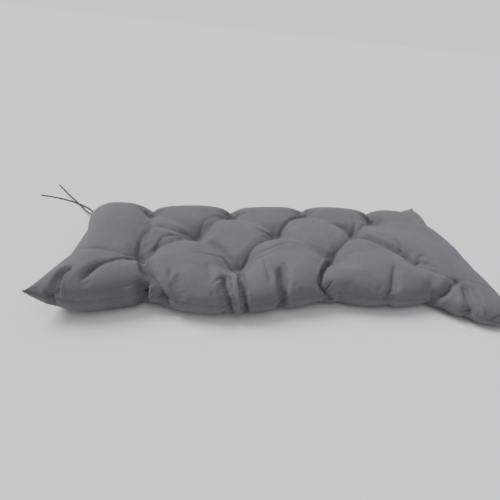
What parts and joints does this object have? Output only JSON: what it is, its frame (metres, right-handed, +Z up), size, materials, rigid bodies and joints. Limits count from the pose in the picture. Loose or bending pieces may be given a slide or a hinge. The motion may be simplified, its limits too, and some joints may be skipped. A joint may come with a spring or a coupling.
{
  "type": "bench cushion",
  "caption": "Long fabric bench cushion, soft-filled and tufted in staggered rows, with a knife-edge seam and a pair of loose corner ties, lying flat.",
  "frame": {"origin": "middle of the cushion's plan box, on the surface that it lies on, without the ties", "axes": "+X along the bench, to the right as seen from the front; +Y to the back; +Z up"},
  "size_m": [1.4566, 0.8285, 0.1172],
  "materials": {
    "cover_cloth": "matt plain-woven polyester",
    "tie_tape": "matt woven tape"
  },
  "bodies": {
    "root": {"cushion": "cover_cloth", "tie_long": "tie_tape", "tie_short": "tie_tape"}
  },
  "joints": []
}
